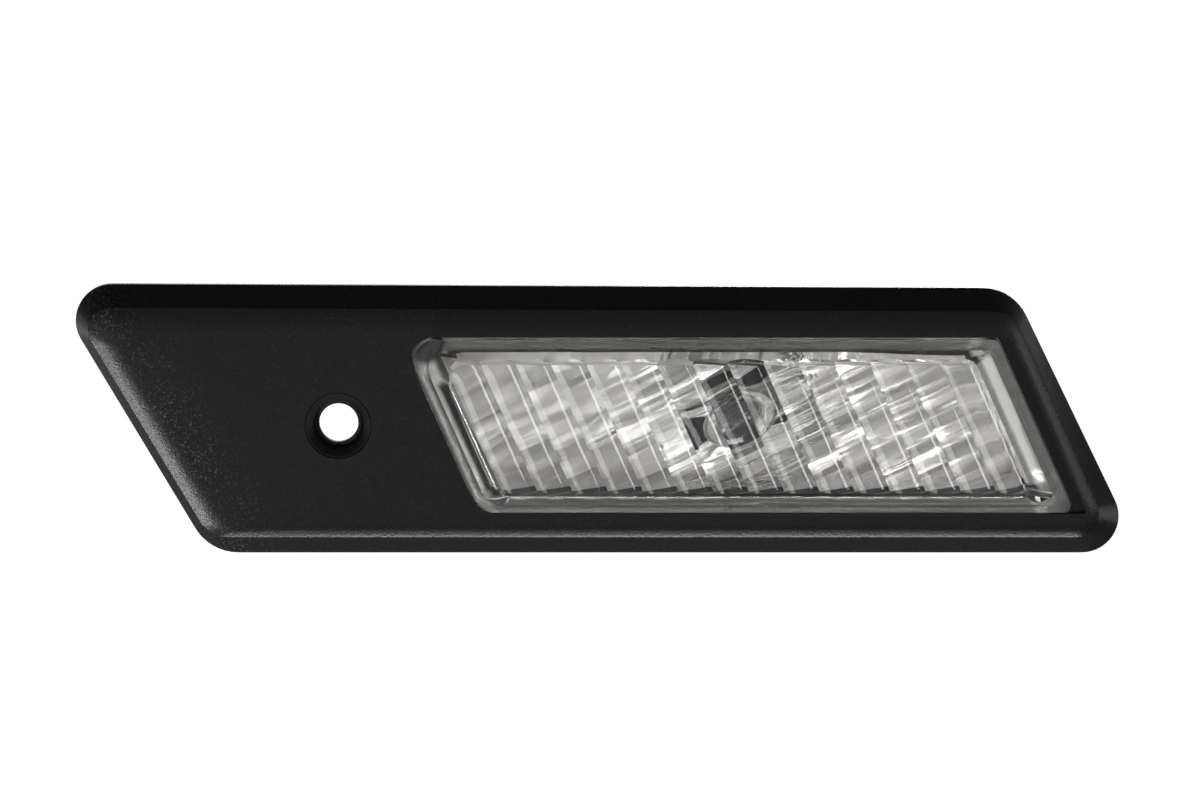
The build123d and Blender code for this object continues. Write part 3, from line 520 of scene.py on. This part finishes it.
# Studio light: a pale room that fades upwards, bright behind and along its foot except in the dim corner,
# and soft boxes for the highlights on the rolled edges and on the back.
world = bpy.data.worlds.new("studio")
bpy.context.scene.world = world
world.use_nodes = True
tree = world.node_tree
tree.nodes.clear()
heading = node(tree, "ShaderNodeTexCoord").outputs["Generated"]
sky = node(tree, "ShaderNodeSeparateXYZ", {"Vector": heading})
height = node(tree, "ShaderNodeMapRange", {
    "Value": sky.outputs["Z"], "From Min": 1.0, "From Max": -0.14, "To Min": 0.0, "To Max": 1.0})
fade = node(tree, "ShaderNodeMath", {0: height.outputs["Result"], 1: 1.6}, operation="POWER")
ahead = node(tree, "ShaderNodeMapRange", {
    "Value": sky.outputs["Y"], "From Min": 0.3, "From Max": -0.6, "To Min": 0.15, "To Max": 1.0},
    interpolation_type="SMOOTHSTEP")
both = node(tree, "ShaderNodeMath", {
    0: fade.outputs["Value"], 1: ahead.outputs["Result"]}, operation="MULTIPLY")
behind = node(tree, "ShaderNodeMapRange", {
    "Value": sky.outputs["Y"], "From Min": 0.6, "From Max": 0.95, "To Min": 0.0, "To Max": 1.2},
    interpolation_type="SMOOTHSTEP")
low = node(tree, "ShaderNodeMapRange", {
    "Value": sky.outputs["Z"], "From Min": 0.14, "From Max": 0.04, "To Min": 0.0, "To Max": 1.8},
    interpolation_type="SMOOTHSTEP")
aside = node(tree, "ShaderNodeMapRange", {
    "Value": sky.outputs["Y"], "From Min": -0.55, "From Max": 0.0}, interpolation_type="SMOOTHSTEP")
skirt = node(tree, "ShaderNodeMath", {
    0: low.outputs["Result"], 1: aside.outputs["Result"]}, operation="MULTIPLY")
facing = node(tree, "ShaderNodeVectorMath", {0: heading, 1: dim_way}, operation="DOT_PRODUCT")
dimmed = node(tree, "ShaderNodeMapRange", {
    "Value": facing.outputs["Value"], "From Min": dim_edge, "From Max": dim_core,
    "To Min": 1.0, "To Max": dim_share}, interpolation_type="SMOOTHSTEP")
skirting = node(tree, "ShaderNodeMath", {
    0: skirt.outputs["Value"], 1: dimmed.outputs["Result"]}, operation="MULTIPLY")
wall = node(tree, "ShaderNodeMath", {
    0: behind.outputs["Result"], 1: skirting.outputs["Value"]}, operation="MAXIMUM")
round_about = node(tree, "ShaderNodeMath", {
    0: both.outputs["Value"], 1: wall.outputs["Value"]}, operation="MAXIMUM")
glow = node(tree, "ShaderNodeMapRange", {
    "Value": round_about.outputs["Value"], "To Min": 0.08, "To Max": 0.58}, clamp=False)
room = node(tree, "ShaderNodeBackground", {"Color": srgb("#ffffff"), "Strength": glow.outputs["Result"]})
node(tree, "ShaderNodeOutputWorld", {"Surface": room.outputs["Background"]})
middle = Vector((0.0368, 0.0, 0.0))


def softbox(name, position, target, width, height, radiance, spread=180):
    """An area light of a given brightness that faces a target, unseen by the camera."""
    lamp = bpy.data.lights.new(name, "AREA")
    lamp.shape = "RECTANGLE"
    lamp.size, lamp.size_y = width, height
    lamp.energy = radiance * math.pi * width * height
    lamp.spread = math.radians(spread)
    made = bpy.data.objects.new(name, lamp)
    made.location = position
    made.rotation_euler = (Vector(target) - Vector(position)).to_track_quat("-Z", "Y").to_euler()
    made.visible_camera = False
    bpy.context.scene.collection.objects.link(made)


softbox("left_key", (-0.35, -0.656, -0.3), (-0.03, 0.0, 0.0), 0.11, 0.11, 50.0)
softbox("low_fill", (0.045, -0.19, -0.35), (0.045, 0.0, 0.0), 0.24, 0.08, 21.0)
softbox("right_strip", (1.2, -1.68, 0.21), (0.1, 0.0, 0.0), 1.0, 0.28, 4.5)
softbox("back_key", (0.25, 2.2, 0.8), middle, 1.2, 0.8, 0.22, 18)

# Camera: a long lens in front of the lamp and a little above it, as the photograph was taken.
lift = math.radians(8.3)
aim = Vector((0.03678, 0.0, 0.00274))
far = 1.0
photo_width = 1200
pixels_per_mm = 7.082
sensor = 36.0
camera = bpy.data.cameras.new("camera")
camera.sensor_width = sensor
camera.lens = sensor * far / (photo_width / pixels_per_mm * MM)
camera.clip_start = 0.01
camera.clip_end = 100
eye = bpy.data.objects.new("camera", camera)
eye.location = aim + far * Vector((0, -math.cos(lift), math.sin(lift)))
eye.rotation_euler = (aim - eye.location).to_track_quat("-Z", "Y").to_euler()
bpy.context.scene.collection.objects.link(eye)
bpy.context.scene.camera = eye
bpy.context.scene.view_settings.view_transform = "Standard"
